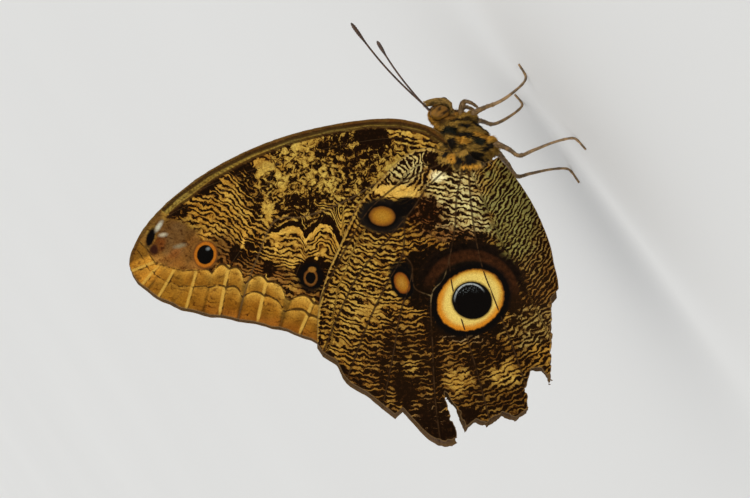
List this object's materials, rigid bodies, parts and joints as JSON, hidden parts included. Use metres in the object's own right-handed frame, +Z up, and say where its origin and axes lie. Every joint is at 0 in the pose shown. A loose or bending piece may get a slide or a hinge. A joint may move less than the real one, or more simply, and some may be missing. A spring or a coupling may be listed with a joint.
{
  "type": "owl butterfly",
  "caption": "Owl butterfly at rest on its feet, wings closed over its back, their undersides with eyespots, a still life-size animal model.",
  "frame": {"origin": "on the ground under the feet, in the middle of the animal's length and width", "axes": "+X forward along the body, to the head; +Y to the animal's left; +Z up, from the feet to the wing tips"},
  "size_m": [0.0872, 0.0346, 0.0903],
  "materials": {
    "wing_membrane": "matt scaled membrane, brown, tan and cream with eyespots",
    "body_fur": "short tan and brown hair over the body",
    "eye": "glossy amber brown compound eye",
    "horn": "red-brown horn of the legs, antennae and tongue"
  },
  "bodies": {
    "root": {"thorax": "body_fur", "head": "body_fur", "abdomen": "body_fur", "eye_right": "eye", "eye_left": "eye", "palp_right": "body_fur", "palp_left": "body_fur", "proboscis": "horn", "antenna_right": "horn", "antenna_left": "horn", "forewing_right": "wing_membrane", "forewing_left": "wing_membrane", "hindwing_right": "wing_membrane", "hindwing_left": "wing_membrane", "foreleg_right": "horn", "foreleg_left": "horn", "midleg_right": "horn", "midleg_left": "horn", "hindleg_right": "horn", "hindleg_left": "horn"}
  },
  "joints": []
}
